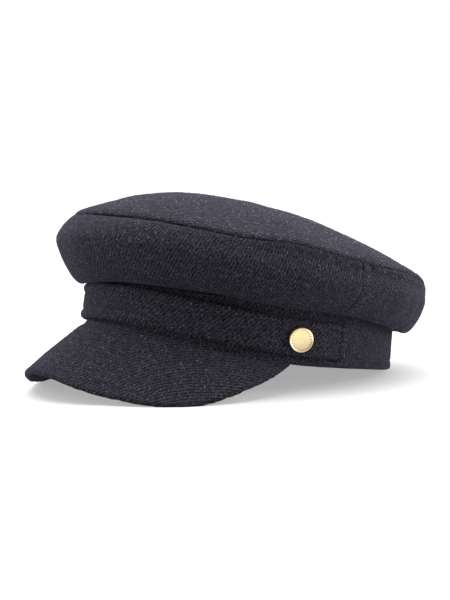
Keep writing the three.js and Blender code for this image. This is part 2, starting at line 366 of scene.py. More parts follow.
@functools.lru_cache(maxsize=None)
def crown_line(degrees):
    """Outer face of the crown's side at an angle, up to the rim and on under the top panel: its points
    (out, up), how far along the cloth each one is, and how far along the rim is."""
    seat = band_top(degrees) + GAP
    rows = [Vector((-BAND_WALL, seat)), Vector((0, seat))]
    rows += [crown_row(degrees, index) for index in range(len(CROWN_ROWS))]
    rows[-1].y -= RIM_TURN
    rows.append(rows[-1] - Vector((SEAM_ALLOWANCE, SEAM_ALLOWANCE / 4)))
    steps = LINE_STEPS * (len(rows) - 1)
    points = [spline(rows, step / steps) for step in range(steps + 1)]
    for point in points:
        if point.x <= 0:
            point.y = max(point.y, seat)
    lengths = [0.0]
    for start, end in zip(points, points[1:]):
        lengths.append(lengths[-1] + (end - start).length)
    return points, lengths, lengths[-1 - LINE_STEPS]


def along_line(points, lengths, distance):
    """Point of a line of points at a distance along it."""
    low = 0
    high = len(lengths) - 1
    while high - low > 1:
        middle = (low + high) // 2
        if lengths[middle] <= distance:
            low = middle
        else:
            high = middle
    part = (distance - lengths[low]) / (lengths[high] - lengths[low])
    return points[low].lerp(points[high], min(max(part, 0.0), 1.0))


def grained(x, y, grain):
    """A spot on flat cloth, in metres, turned so that the twill's ribs run along the second coordinate."""
    c = math.cos(math.radians(grain))
    s = math.sin(math.radians(grain))
    return (x * s - y * c) * MM, (x * c + y * s) * MM


def bump_at(distance, middle, wide):
    """A rounded bump of height 1 round a middle."""
    return math.exp(-(((distance - middle) / wide) ** 2))


def seam_relief(distance):
    """How the cloth dips into a seam and puffs up beside it, at a distance from the seam."""
    return PUFF * bump_at(distance, PUFF_FROM, PUFF_WIDE) - SEAM_DEPTH * bump_at(distance, 0, SEAM_WIDE)


def wobble(x, y, size, seed):
    """Smooth uneven value from about -1 to 1, for spots on flat cloth, over lumps of a size."""
    return noise.noise(Vector((x / size, y / size, seed)))


def slack(x, y, seed):
    """How the soft cloth is uneven by itself: broad soft lumps and small ones."""
    return sum(row["high"] * wobble(x, y, row["wide"], seed + row["seed"]) for row in CLOTH_LUMPS)


def puckers(distance, along, high, reach, long, seed):
    """How a seam's puckers lift the cloth, at a distance from the seam and along it."""
    return high * math.exp(-distance / reach) * wobble(along, 0, long, seed)


def object_from(mesh, name):
    """A Blender object of a finished mesh."""
    data = bpy.data.meshes.new(name)
    mesh.to_mesh(data)
    mesh.free()
    made = bpy.data.objects.new(name, data)
    bpy.context.scene.collection.objects.link(made)
    return made


def cloth_grid(columns, rows, spot):
    """A piece of cloth from a grid. spot(across, up) gives each corner's place in the cap's frame, its place
    on the flat cloth turned to the grain, and how far it stands proud of the plain shape."""
    mesh = bmesh.new()
    bmesh.ops.create_grid(mesh, x_segments=columns, y_segments=rows, size=0.5)
    cloth = mesh.loops.layers.uv.new("cloth")
    spots = {corner: spot(corner.co.x + 0.5, corner.co.y + 0.5) for corner in mesh.verts}
    for face in mesh.faces:
        face.smooth = True
        for loop in face.loops:
            loop[cloth].uv = spots[loop.vert][1]
    for corner, (place, _, _) in spots.items():
        corner.co = placed(place)
    bmesh.ops.remove_doubles(mesh, verts=mesh.verts, dist=MERGE * MM)
    mesh.normal_update()
    for corner in mesh.verts:
        corner.co += corner.normal * spots[corner][2] * MM
        corner.co.z = max(corner.co.z, 0.0)
    return mesh


def give_wall(piece, wall):
    """Gives a skin of cloth its thickness, inwards."""
    walled = piece.modifiers.new("wall", "SOLIDIFY")
    walled.thickness = wall * MM
    walled.offset = -1
    walled.use_even_offset = False
    return piece


def towards_ends(share, strength):
    """A share from 0 to 1, with more steps near both ends."""
    return share - strength * math.sin(2 * math.pi * share) / (2 * math.pi)


def crown_side(name, first, last, columns, grain, seed):
    """Side panel of the crown between two angles, up to the rim seam."""

    def spot(across, up):
        degrees = first + (last - first) * towards_ends(across, 0.6)
        points, lengths, rim = crown_line(degrees)
        distance = lengths[-1] * (1 - (1 - up) ** 1.5)
        out_up = along_line(points, lengths, distance)
        x = girth(degrees) * SIDE_GIRTH
        to_rim = abs(rim - distance)
        to_end = min(degrees - first, last - degrees) * CROWN_DEGREE
        at_rim = puckers(to_rim, x, seed=seed + 3, **RIM_PUCKER)
        at_end = puckers(to_end, to_rim, seed=seed + 4, **END_PUCKER)
        upright = UPRIGHT_SEAM * min(distance / SEAM_FADE, 1.0)
        seams = RIM_SEAM * seam_relief(to_rim) + upright * seam_relief(to_end)
        free = min(distance / FOLD_HELD, 1.0)
        proud = seams + free * (at_rim + at_end + slack(x, distance, seed))
        turned = x / PANEL_ARC
        flat_x = (PANEL_ARC + distance) * math.sin(turned)
        flat_y = (PANEL_ARC + distance) * math.cos(turned)
        return at(degrees, out_up.x, out_up.y), grained(flat_x, flat_y, grain), proud

    panel = object_from(cloth_grid(columns, 96, spot), name)
    return give_wall(panel, CROWN_WALL)


def crown_top():
    """Top panel of the crown: a low soft dome, turned down into the rim seam."""
    turn = [at(t, *crown_row(t, len(CROWN_ROWS) - 1)) for t in range(0, 360, 3)]
    middle = sum(turn, Vector()) / len(turn)
    middle.y -= DOME_FORWARD

    def spot(across, up):
        degrees = 360 * across
        edge = at(degrees, *crown_row(degrees, len(CROWN_ROWS) - 1))
        across_dome = (edge - middle).length
        to_rim = up**1.4 * (across_dome + RIM_ROUND)
        turned = 1 - math.exp(-to_rim / RIM_ROUND)
        share = min((to_rim - RIM_ROUND * turned) / across_dome, 1.0)
        place = edge.lerp(middle, share)
        turned_down = RIM_TURN * math.exp(-to_rim / RIM_ROLL)
        place.z += DOME_RISE * (1 - (1 - share) ** 2) - turned_down
        at_rim = puckers(to_rim, girth(degrees) * TOP_GIRTH, seed=31, **TOP_PUCKER)
        free = min(to_rim / RIM_HELD, 1)
        proud = RIM_SEAM * seam_relief(to_rim) + at_rim + free * slack(place.x, place.y, 27)
        unfolded = place + (edge - middle).normalized() * turned_down
        return place, grained(unfolded.x, unfolded.y, GRAIN_TOP), proud

    panel = object_from(cloth_grid(360, 84, spot), "crown_top_cloth")
    return give_wall(panel, CROWN_WALL)


def rounded_section(share, height, wall, round_by):
    """Point (in from the outer face, up) on the outline of an upright strip with rounded edges, from the
    middle of its lower edge up its outer face and down its inner face."""
    flat = height - 2 * round_by
    arc = math.pi * round_by / 2
    level = wall - 2 * round_by
    parts = (level / 2, arc, flat, arc, level, arc, flat, arc, level / 2)
    left = share * sum(parts)
    for index, part in enumerate(parts):
        if left <= part or index == len(parts) - 1:
            break
        left -= part
    turned = left / round_by
    sine = round_by * math.sin(turned)
    cosine = round_by * math.cos(turned)
    return (
        Vector((wall / 2 - left, 0)),
        Vector((round_by - sine, round_by - cosine)),
        Vector((0, round_by + left)),
        Vector((round_by - cosine, height - round_by + sine)),
        Vector((round_by + left, height)),
        Vector((wall - round_by + sine, height - round_by + cosine)),
        Vector((wall, height - round_by - left)),
        Vector((wall - round_by + cosine, round_by - sine)),
        Vector((wall - round_by - left, 0)),
    )[index]


def headband():
    """Headband: an upright oval strip of doubled cloth with a hem line near its lower edge."""

    def spot(across, up):
        degrees = 180 + 360 * across
        height = band_top(degrees) - band_edge(degrees)
        section = rounded_section(up, height, BAND_WALL, BAND_ROUND)
        x = girth(degrees)
        groove = HEM_GROOVE["deep"] * bump_at(section.y, BAND_HEM, HEM_GROOVE["wide"])
        roll = HEM_ROLL["high"] * bump_at(section.y, BAND_HEM / 2, HEM_ROLL["wide"])
        hem = roll - groove
        join = BAND_JOIN * seam_relief(min(across, 1 - across) * girth(360))
        outside = 1.0 if section.x < BAND_WALL / 2 else 0.5
        proud = outside * (hem + join + 0.4 * slack(x, section.y, 41))
        place = at(degrees, -section.x, band_edge(degrees) + section.y)
        return place, grained(x, section.y, GRAIN_BAND), proud

    return object_from(cloth_grid(420, 56, spot), "headband_cloth")


def strap_relief(height):
    """How the strap's face is padded along its edges, beyond its stitched lines."""
    edge = min(height, STRAP_HEIGHT - height)
    roll = STRAP_ROLL["high"] * bump_at(edge, STRAP_STITCH / 2, STRAP_ROLL["wide"])
    groove = STRAP_GROOVE["deep"] * bump_at(edge, STRAP_STITCH, STRAP_GROOVE["wide"])
    return roll - groove


def strap():
    """Strap across the front, padded along its edges, with its ends rounded off."""

    def spot(across, up):
        degrees = STRAP_REACH * (2 * towards_ends(across, 0.5) - 1)
        section = rounded_section(up, STRAP_HEIGHT, STRAP_WALL, STRAP_ROUND)
        x = girth(degrees)
        to_end = girth(STRAP_REACH) - abs(x)
        full = math.sqrt(1 - (1 - min(to_end / 2.0, 1)) ** 2)
        middle = STRAP_WALL / 2
        out = GAP + STRAP_WALL - (middle + (section.x - middle) * full)
        outside = full if section.x < middle else 0.2 * full
        end_puff = 0.5 * bump_at(to_end, 3, 2.2) - 0.5 * bump_at(to_end, 6, 0.8)
        proud = outside * (strap_relief(section.y) + end_puff + 0.6 * slack(x, section.y, 53))
        place = at(degrees, out, strap_foot(degrees) + section.y)
        return place, grained(x, section.y, GRAIN_STRAP), proud

    return object_from(cloth_grid(360, 60, spot), "strap_cloth")


def peak_value(share, column):
    """A column of the peak's table at a share of its reach, on a smooth curve, level at the middle."""
    share = min(share, 1.0)
    i = min(max(k for k, row in enumerate(PEAK_ROWS) if row["at"] <= share), len(PEAK_ROWS) - 2)

    def slope(k):
        if k == 0:
            return 0
        a = PEAK_ROWS[k - 1]
        b = PEAK_ROWS[min(k + 1, len(PEAK_ROWS) - 1)]
        return (b[column] - a[column]) / (b["at"] - a["at"])

    low = PEAK_ROWS[i]
    high = PEAK_ROWS[i + 1]
    width = high["at"] - low["at"]
    u = (share - low["at"]) / width
    level = (2 * u**3 - 3 * u**2 + 1) * low[column] + (3 * u**2 - 2 * u**3) * high[column]
    return level + width * ((u**3 - 2 * u**2 + u) * slope(i) + (u**3 - u**2) * slope(i + 1))


@functools.lru_cache(maxsize=None)
def peak_sizes(degrees):
    """Length, slope, wall, lip thickness, start of the under face and body of the peak at an angle."""
    share = abs(degrees) / PEAK_REACH
    to_end = min(max((share - PEAK_THIN_FROM) / (1 - PEAK_THIN_FROM), 0), 1)
    wall = PEAK_WALL * (1 - (1 - PEAK_THIN) * to_end**1.5)
    length = PEAK_LENGTH * peak_value(share, "long")
    slope = math.radians(PEAK_DROP * peak_value(share, "steep"))
    lip = min(PEAK_LIP, wall + length * LIP_GROWTH)
    under_start = (wall * math.sin(slope) - BAND_WALL) / math.cos(slope)
    body = max(length - lip / 2, under_start + GAP)
    return length, slope, wall, lip, under_start, body


def peak_point(degrees, reach, raised):
    """Point (out, up) on the peak's section at an angle: this far along its slope, and square to it."""
    slope = peak_sizes(degrees)[1]
    out = math.cos(slope) * reach + math.sin(slope) * raised
    up = -math.sin(slope) * reach + math.cos(slope) * raised
    return Vector((out, band_foot(degrees) - GAP + up))


def peak_section(degrees, share):
    """Point (out, up) on the peak's outline at an angle, from the root of its under face round its lip to
    the root of its upper face and back."""
    length, _, wall, lip, under_start, body = peak_sizes(degrees)
    belly = PEAK_BELLY * length / PEAK_LENGTH
    if share < UNDER_END:
        k = share / UNDER_END
        under = wall + (lip - wall) * k**3
        return peak_point(degrees, under_start + (body - under_start) * k, belly * 4 * k * (1 - k) - under)
    if share < LIP_END:
        turned = math.pi * (share - UNDER_END) / (LIP_END - UNDER_END)
        return peak_point(degrees, body + lip / 2 * math.sin(turned), -lip / 2 - lip / 2 * math.cos(turned))
    if share < UPPER_END:
        k = 1 - (share - LIP_END) / (UPPER_END - LIP_END)
        return peak_point(degrees, body * k, belly * 4 * k * (1 - k))
    root = peak_point(degrees, 0, 0)
    tucked = Vector((-BAND_WALL / 2, band_foot(degrees) + PEAK_TUCK))
    if share < ROOT_END:
        return root.lerp(tucked, (share - UPPER_END) / (ROOT_END - UPPER_END))
    return tucked.lerp(peak_point(degrees, under_start, -wall), (share - ROOT_END) / (1 - ROOT_END))


def peak_reach(degrees, share):
    """How far along the cloth a spot of the peak's outline is from its root, over the lip and under it."""
    _, _, _, lip, _, body = peak_sizes(degrees)
    if share < UNDER_END:
        return body + math.pi * lip / 2 + body * (1 - share / UNDER_END)
    if share < LIP_END:
        return body + math.pi * lip / 2 * (LIP_END - share) / (LIP_END - UNDER_END)
    return body * max(1 - (share - LIP_END) / (UPPER_END - LIP_END), 0)


def peak():
    """Peak: a stiff plate in cloth, folded round its lip."""

    def spot(across, up):
        degrees = PEAK_REACH * (2 * towards_ends(across, 0.3) - 1)
        out_up = peak_section(degrees, up)
        place = at(degrees, out_up.x, out_up.y)
        x = girth(degrees)
        length = peak_sizes(degrees)[0]
        unfolded = at(degrees, peak_reach(degrees, up), 0)
        on_lip = bump_at(up, (UNDER_END + LIP_END) / 2, 0.07) * min(length / 12, 1)
        near_lip = bump_at(up, 0.5, 0.05) * min(length / 12, 1)
        lumps = on_lip * sum(row["high"] * wobble(x, 0, row["long"], row["seed"]) for row in LIP_LUMPS)
        open_face = 1.0 if UNDER_END < up < SHOWN_END else 0.4
        from_root = peak_reach(degrees, up) if up > LIP_END else length
        crease = -PEAK_CREASE * bump_at(from_root, STRAP_WALL, 2.6) * min(length / 20, 1)
        uneven = open_face * 0.35 * slack(place.x, place.y, 67) * min(length / 20, 1)
        proud = lumps - 0.25 * near_lip + crease + uneven
        return place, grained(unfolded.x, unfolded.y, GRAIN_PEAK), proud

    mesh = cloth_grid(300, 100, spot)
    open_edges = [edge for edge in mesh.edges if edge.is_boundary]
    bmesh.ops.holes_fill(mesh, edges=open_edges, sides=0)
    return object_from(mesh, "peak_cloth")


def stitch_line(name, spots, outward):
    """A row of stitches, each along the line from its spot to the next and sunk a little into the cloth."""
    mesh = bmesh.new()
    for start, end, out in zip(spots, spots[1:], outward):
        along = (end - start).normalized()
        side = out.cross(along).normalized()
        up = along.cross(side)
        turned = Matrix((along, side, up)).transposed().to_4x4()
        shaped = Matrix.Diagonal((STITCH_LENGTH / 2, STITCH_THICK / 2, STITCH_THICK / 2, 1))
        middle = Matrix.Translation((start + end) / 2)
        bmesh.ops.create_uvsphere(
            mesh, u_segments=6, v_segments=5, radius=MM, matrix=middle @ turned @ shaped
        )
    for face in mesh.faces:
        face.smooth = True
    return object_from(mesh, name)


def stitches_along(name, first, last, out_up):
    """Stitches round the cap between two angles, at out_up(degrees)."""
    count = int(abs(girth(last) - girth(first)) / STITCH_PITCH)
    turns = [first + (last - first) * step / count for step in range(count + 1)]
    spots = [placed(at(t, *out_up(t))) for t in turns]
    outward = [placed(at(t, 9, 0)) - placed(at(t, 8, 0)) for t in turns]
    return stitch_line(name, spots, outward)


def nap(piece, count, seed):
    """Loose fibres on a piece of cloth, some flat and some steeper. The count includes those that are then
    left out, because they would point into the cloth, stand too steeply or touch the floor."""
    chance = random.Random(seed)
    faces = piece.data.polygons
    drawn = chance.choices(faces, weights=[face.area for face in faces], k=count)
    whole = bmesh.new()
    for first in range(0, count, NAP_PART):
        part = bmesh.new()
        for face in drawn[first : first + NAP_PART]:
            corner = piece.data.vertices[chance.choice(face.vertices)].co
            root = face.center.lerp(corner, chance.random())
            if root.z < NAP_CLEAR * MM:
                continue
            lean = Vector([chance.uniform(-1, 1) for _ in range(3)])
            along = (face.normal * chance.uniform(0.1, 0.65) + lean).normalized()
            if not NAP_LEAST < along.dot(face.normal) < NAP_MOST:
                continue
            long = chance.uniform(0.5, 1) * NAP_LONG * MM
            turned = along.to_track_quat("Z", "Y").to_matrix().to_4x4()
            bmesh.ops.create_cone(
                part,
                cap_ends=True,
                segments=3,
                radius1=NAP_THICK / 2 * MM,
                radius2=0,
                depth=long,
                matrix=Matrix.Translation(root + along * long * 0.4) @ turned,
            )
        data = bpy.data.meshes.new("fibres")
        part.to_mesh(data)
        part.free()
        whole.from_mesh(data)
        bpy.data.meshes.remove(data)
    return object_from(whole, piece.name.replace("cloth", "nap"))


def button_place(side):
    """Where the middle of a button's back is, and which way it faces."""
    degrees = side * (STRAP_REACH - math.degrees(BUTTON_FROM_END / HALF_LENGTH))
    up = strap_foot(degrees) + STRAP_HEIGHT / 2 - BUTTON_BELOW_MIDDLE
    back = placed(at(degrees, GAP + STRAP_WALL + GAP, up))
    ahead = (placed(at(degrees, 20, up)) - placed(at(degrees, 10, up))).normalized()
    ahead.rotate(Matrix.Rotation(-side * math.radians(BUTTON_TURN), 3, "Z"))
    return back + ahead * BUTTON_LIFT * MM, ahead


def button(name, side):
    """A flat pressed button: raised rim, shallow dish, ring of small dots, and a shank into the strap."""
    radius = BUTTON_DIAMETER / 2
    inside = radius - BUTTON_RIM
    profile = (
        (0, BUTTON_THICKNESS - BUTTON_DISH),
        (inside - 0.5, BUTTON_THICKNESS - BUTTON_DISH + 0.03),
        (inside - 0.15, BUTTON_THICKNESS - BUTTON_DISH + 0.12),
        (inside + 0.05, BUTTON_THICKNESS - 0.1),
        (inside + 0.2, BUTTON_THICKNESS),
        (radius - BUTTON_BEVEL, BUTTON_THICKNESS),
        (radius - 0.15, BUTTON_THICKNESS - 0.16),
        (radius, BUTTON_THICKNESS - BUTTON_BEVEL),
        (radius, BUTTON_BEVEL),
        (radius - BUTTON_BEVEL, 0),
        (SHANK_RADIUS, 0),
        (SHANK_RADIUS, -SHANK_LENGTH),
        (0, -SHANK_LENGTH),
    )
    mesh = bmesh.new()
    patina = mesh.loops.layers.uv.new("patina")
    corners = [mesh.verts.new((out * MM, 0, up * MM)) for out, up in profile]
    edges = [mesh.edges.new(pair) for pair in zip(corners, corners[1:])]
    bmesh.ops.spin(
        mesh,
        geom=corners + edges,
        cent=(0, 0, 0),
        axis=(0, 0, 1),
        angle=2 * math.pi,
        steps=96,
        use_merge=True,
    )
    bmesh.ops.remove_doubles(mesh, verts=mesh.verts, dist=0.001 * MM)
    for index in range(BUTTON_DOTS):
        turn = Matrix.Rotation(2 * math.pi * index / BUTTON_DOTS, 4, "Z")
        spot = Matrix.Translation(((inside - DOT_INSET) * MM, 0, (BUTTON_THICKNESS - BUTTON_DISH) * MM))
        flat = Matrix.Diagonal((*DOT_SIZE, 1))
        shape = turn @ spot @ flat
        dot = bmesh.ops.create_uvsphere(mesh, u_segments=10, v_segments=6, radius=MM, matrix=shape)
        for face in {face for corner in dot["verts"] for face in corner.link_faces}:
            for loop in face.loops:
                loop[patina].uv = (1, 0)
    bmesh.ops.recalc_face_normals(mesh, faces=mesh.faces)
    for face in mesh.faces:
        face.smooth = True
    back, ahead = button_place(side)
    turned = ahead.to_track_quat("Z", "Y").to_matrix().to_4x4()
    bmesh.ops.transform(mesh, matrix=Matrix.Translation(back) @ turned, verts=mesh.verts)
    return object_from(mesh, name)


def linear(code):
    """An sRGB hex colour as linear red, green, blue and alpha."""
    parts = [int(code[i : i + 2], 16) / 255 for i in (1, 3, 5)]
    return [p / 12.92 if p <= 0.04045 else ((p + 0.055) / 1.055) ** 2.4 for p in parts] + [1.0]


def add_node(tree, kind, settings=None, inputs=None):
    """A node with its settings, and with each named input linked from a socket or set to a value."""
    node = tree.nodes.new(kind)
    for name, value in (settings or {}).items():
        setattr(node, name, value)
    for name, value in (inputs or {}).items():
        if isinstance(value, bpy.types.NodeSocket):
            tree.links.new(value, node.inputs[name])
        else:
            node.inputs[name].default_value = value
    return node


def new_material(name):
    """An empty node material and its tree."""
    made = bpy.data.materials.new(name)
    made.use_nodes = True
    made.node_tree.nodes.clear()
    return made, made.node_tree


# Wool twill: spun wool yarns of mixed dark and light fibres, woven in diagonal ribs and a little felted.
# To the eye: near-black charcoal with pale single fibres, soft ribs about 2 mm apart, no gloss, and a pale
# bloom where it turns away. Sizes are in millimetres: the pitch of the ribs, the length of the yarn floats
# on them, how wide and long the single fibres are, and the size of the lighter and darker patches.
TWILL_PITCH = 2.15
FLOAT_LENGTH = 2.3
FIBRE_WIDE = 0.23
FIBRE_LONG = 2.2
MELANGE = 4


def wool_twill(name, shaded_groove, ridge, fleck):
    """Wool twill on the cloth's own coordinates, whose second one runs along the ribs."""
    made, tree = new_material(name)
    cloth = add_node(tree, "ShaderNodeUVMap", {"uv_map": "cloth"}).outputs["UV"]
    in_mm = add_node(
        tree, "ShaderNodeVectorMath", {"operation": "SCALE"}, {0: cloth, "Scale": 1000.0}
    ).outputs["Vector"]
    drift = add_node(
        tree,
        "ShaderNodeTexNoise",
        {"noise_dimensions": "2D"},
        {"Vector": in_mm, "Scale": 0.18, "Detail": 1.0},
    ).outputs["Color"]
    moved = add_node(
        tree, "ShaderNodeVectorMath", {"operation": "MULTIPLY_ADD"}, {0: drift, 1: (1.1, 1.1, 0), 2: in_mm}
    ).outputs["Vector"]
    split = add_node(tree, "ShaderNodeSeparateXYZ", {}, {0: moved})
    phase = add_node(
        tree,
        "ShaderNodeMath",
        {"operation": "MULTIPLY"},
        {0: split.outputs["X"], 1: 2 * math.pi / TWILL_PITCH},
    ).outputs[0]
    wave = add_node(tree, "ShaderNodeMath", {"operation": "SINE"}, {0: phase}).outputs[0]
    rib = add_node(
        tree, "ShaderNodeMath", {"operation": "MULTIPLY_ADD"}, {0: wave, 1: 0.5, 2: 0.5}
    ).outputs[0]
    # Each rib is a row of short slanted yarn floats
    leaned = add_node(
        tree,
        "ShaderNodeMath",
        {"operation": "MULTIPLY_ADD"},
        {0: split.outputs["X"], 1: 1.3, 2: split.outputs["Y"]},
    ).outputs[0]
    float_phase = add_node(
        tree, "ShaderNodeMath", {"operation": "MULTIPLY"}, {0: leaned, 1: 2 * math.pi / FLOAT_LENGTH}
    ).outputs[0]
    float_wave = add_node(tree, "ShaderNodeMath", {"operation": "SINE"}, {0: float_phase}).outputs[0]
    floats = add_node(
        tree, "ShaderNodeMath", {"operation": "MULTIPLY_ADD"}, {0: float_wave, 1: 0.5, 2: 0.5}
    ).outputs[0]
    # Single fibres lie mostly along the yarns, drawn wider than real ones so that they show
    fibres = []
    for turn, seed in ((4, 3.0), (-20, 17.0), (52, 41.0)):
        laid = add_node(
            tree,
            "ShaderNodeMapping",
            {"vector_type": "POINT"},
            {
                "Vector": in_mm,
                "Location": (seed, seed, 0),
                "Rotation": (0, 0, math.radians(turn)),
                "Scale": (1 / FIBRE_WIDE, 1 / FIBRE_LONG, 1),
            },
        ).outputs["Vector"]
        fibres.append(
            add_node(
                tree,
                "ShaderNodeTexNoise",
                {"noise_dimensions": "2D"},
                {"Vector": laid, "Scale": 1.0, "Detail": 1.0, "Roughness": 0.6},
            ).outputs["Fac"]
        )
    first_two = add_node(
        tree, "ShaderNodeMath", {"operation": "MAXIMUM"}, {0: fibres[0], 1: fibres[1]}
    ).outputs[0]
    lying = add_node(
        tree, "ShaderNodeMath", {"operation": "MAXIMUM"}, {0: first_two, 1: fibres[2]}
    ).outputs[0]
    pale = add_node(
        tree,
        "ShaderNodeMapRange",
        {"interpolation_type": "SMOOTHSTEP"},
        {"Value": lying, "From Min": 0.66, "From Max": 0.84},
    ).outputs["Result"]
    mixed = add_node(
        tree,
        "ShaderNodeTexNoise",
        {"noise_dimensions": "2D"},
        {"Vector": in_mm, "Scale": 1 / MELANGE, "Detail": 3.0, "Roughness": 0.8},
    ).outputs["Fac"]
    melange = add_node(
        tree, "ShaderNodeMapRange", {}, {"Value": mixed, "From Min": 0.38, "From Max": 0.62}
    ).outputs["Result"]
    # How high the yarn stands: ribs, floats on them and fibres. The colour follows it, so the grooves hold
    # painted shade
    on_rib = add_node(
        tree, "ShaderNodeMath", {"operation": "MULTIPLY_ADD"}, {0: floats, 1: 0.25, 2: rib}
    ).outputs[0]
    height = add_node(
        tree, "ShaderNodeMath", {"operation": "MULTIPLY_ADD"}, {0: lying, 1: 0.5, 2: on_rib}
    ).outputs[0]
    tone = add_node(
        tree,
        "ShaderNodeMapRange",
        {},
        {"Value": height, "From Min": 0.33, "From Max": 1.4},
    ).outputs["Result"]
    weaker = add_node(
        tree, "ShaderNodeMath", {"operation": "MULTIPLY_ADD"}, {0: tone, 1: 0.7, 2: -0.05}
    ).outputs[0]
    uneven = add_node(
        tree,
        "ShaderNodeMath",
        {"operation": "MULTIPLY_ADD", "use_clamp": True},
        {0: melange, 1: 0.3, 2: weaker},
    ).outputs[0]
    # The grooves between the ribs are painted darker, as painted shade. The melange patches and the pale
    # lying fibres are the wool's own colour.
    yarn_and_groove_shade = add_node(
        tree,
        "ShaderNodeMix",
        {"data_type": "RGBA"},
        {"Factor": uneven, 6: linear(shaded_groove), 7: linear(ridge)},
    ).outputs[2]
    colour = add_node(
        tree, "ShaderNodeMix", {"data_type": "RGBA"}, {"Factor": pale, 6: yarn_and_groove_shade, 7: linear(fleck)}
    ).outputs[2]
    bump = add_node(
        tree, "ShaderNodeBump", {}, {"Strength": 0.7, "Distance": 0.22 * MM, "Height": height}
    ).outputs["Normal"]
    shader = add_node(
        tree,
        "ShaderNodeBsdfPrincipled",
        {},
        {
            "Base Color": colour,
            "Roughness": 0.95,
            "IOR": 1.45,
            "Specular IOR Level": 0.08,
            "Sheen Weight": 0.07,
            "Sheen Roughness": 0.35,
            "Sheen Tint": linear("#b4b0e0"),
            "Normal": bump,
        },
    )
    add_node(tree, "ShaderNodeOutputMaterial", {}, {"Surface": shader.outputs[0]})
    return made


def loose_wool():
    """Single wool fibres, each one of its own grey: dull, paler than the cloth under them."""
    made, tree = new_material("loose_wool_fibres")
    place = add_node(tree, "ShaderNodeTexCoord").outputs["Object"]
    tone = add_node(
        tree, "ShaderNodeTexNoise", {}, {"Vector": place, "Scale": 900.0, "Detail": 1.0}
    ).outputs["Fac"]
    share = add_node(
        tree, "ShaderNodeMapRange", {}, {"Value": tone, "From Min": 0.4, "From Max": 0.65}
    ).outputs["Result"]
    colour = add_node(
        tree,
        "ShaderNodeMix",
        {"data_type": "RGBA"},
        {"Factor": share, 6: linear("#08080b"), 7: linear("#93909f")},
    ).outputs[2]
    shader = add_node(
        tree,
        "ShaderNodeBsdfPrincipled",
        {},
        {"Base Color": colour, "Roughness": 0.9, "IOR": 1.45, "Specular IOR Level": 0.15},
    )
    add_node(tree, "ShaderNodeOutputMaterial", {}, {"Surface": shader.outputs[0]})
    return made


def gilt_brass():
    """Pressed brass with a thin polished gilt layer: warm pale gold with soft fine scratches."""
    made, tree = new_material("gilt_brass")
    place = add_node(tree, "ShaderNodeTexCoord").outputs["Object"]
    scratches = add_node(
        tree, "ShaderNodeTexNoise", {}, {"Vector": place, "Scale": 2600.0, "Detail": 3.0, "Distortion": 0.4}
    ).outputs["Fac"]
    tarnish = add_node(
        tree, "ShaderNodeTexNoise", {}, {"Vector": place, "Scale": 240.0, "Detail": 2.0}
    ).outputs["Fac"]
    colour = add_node(
        tree,
        "ShaderNodeMix",
        {"data_type": "RGBA"},
        {"Factor": tarnish, 6: linear("#eedaaf"), 7: linear("#e7d09c")},
    ).outputs[2]
    # Dark patina stays on the struck dots, which the mesh marks
    marked = add_node(tree, "ShaderNodeUVMap", {"uv_map": "patina"}).outputs["UV"]
    on_dots = add_node(tree, "ShaderNodeSeparateXYZ", {}, {0: marked}).outputs["X"]
    dulled = add_node(
        tree, "ShaderNodeMix", {"data_type": "RGBA"}, {"Factor": on_dots, 6: colour, 7: linear("#7d6a40")}
    ).outputs[2]
    rough = add_node(
        tree, "ShaderNodeMapRange", {}, {"Value": scratches, "To Min": 0.24, "To Max": 0.42}
    ).outputs["Result"]
    bump = add_node(
        tree, "ShaderNodeBump", {}, {"Strength": 0.25, "Distance": 0.03 * MM, "Height": scratches}
    ).outputs["Normal"]
    shader = add_node(
        tree,
        "ShaderNodeBsdfPrincipled",
        {},
        {"Base Color": dulled, "Metallic": 1.0, "Roughness": rough, "Normal": bump},
    )
    add_node(tree, "ShaderNodeOutputMaterial", {}, {"Surface": shader.outputs[0]})
    return made


def sewing_thread():
    """Matt spun thread, dyed near black: a dull thread with a slight twist."""
    made, tree = new_material("spun_sewing_thread")
    place = add_node(tree, "ShaderNodeTexCoord").outputs["Object"]
    twist = add_node(
        tree, "ShaderNodeTexNoise", {}, {"Vector": place, "Scale": 1800.0, "Detail": 1.0}
    ).outputs["Fac"]
    colour = add_node(
        tree,
        "ShaderNodeMix",
        {"data_type": "RGBA"},
        {"Factor": twist, 6: linear("#17161b"), 7: linear("#2b2a31")},
    ).outputs[2]
    bump = add_node(
        tree, "ShaderNodeBump", {}, {"Strength": 0.5, "Distance": 0.1 * MM, "Height": twist}
    ).outputs["Normal"]
    shader = add_node(
        tree, "ShaderNodeBsdfPrincipled", {}, {"Base Color": colour, "Roughness": 0.85, "Normal": bump}
    )
    add_node(tree, "ShaderNodeOutputMaterial", {}, {"Surface": shader.outputs[0]})
    return made


def lit_acrylic():
    """Matt white acrylic, softly lit from below as on a photographer's light table: it shows white, with a
    weak shadow."""
    made, tree = new_material("lit_white_acrylic")
    place = add_node(tree, "ShaderNodeTexCoord").outputs["Object"]
    grain = add_node(
        tree, "ShaderNodeTexNoise", {}, {"Vector": place, "Scale": 900.0, "Detail": 2.0}
    ).outputs["Fac"]
    colour = add_node(
        tree,
        "ShaderNodeMix",
        {"data_type": "RGBA"},
        {"Factor": grain, 6: linear("#989898"), 7: linear("#9c9c9c")},
    ).outputs[2]
    shader = add_node(
        tree,
        "ShaderNodeBsdfPrincipled",
        {},
        {
            "Base Color": colour,
            "Roughness": 0.9,
            "Emission Color": linear("#ffffff"),
            "Emission Strength": 0.38,
        },
    )
    add_node(tree, "ShaderNodeOutputMaterial", {}, {"Surface": shader.outputs[0]})
    return made


def dressed(piece, material, slot_name, *nodes):
    """Gives a piece its material and its body, and hides the plain solids that it stands for. The slot name
    is not used.
    """
    piece.data.materials.append(material)
    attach(piece, "root")
    if nodes:
        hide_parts(*nodes)
    return piece


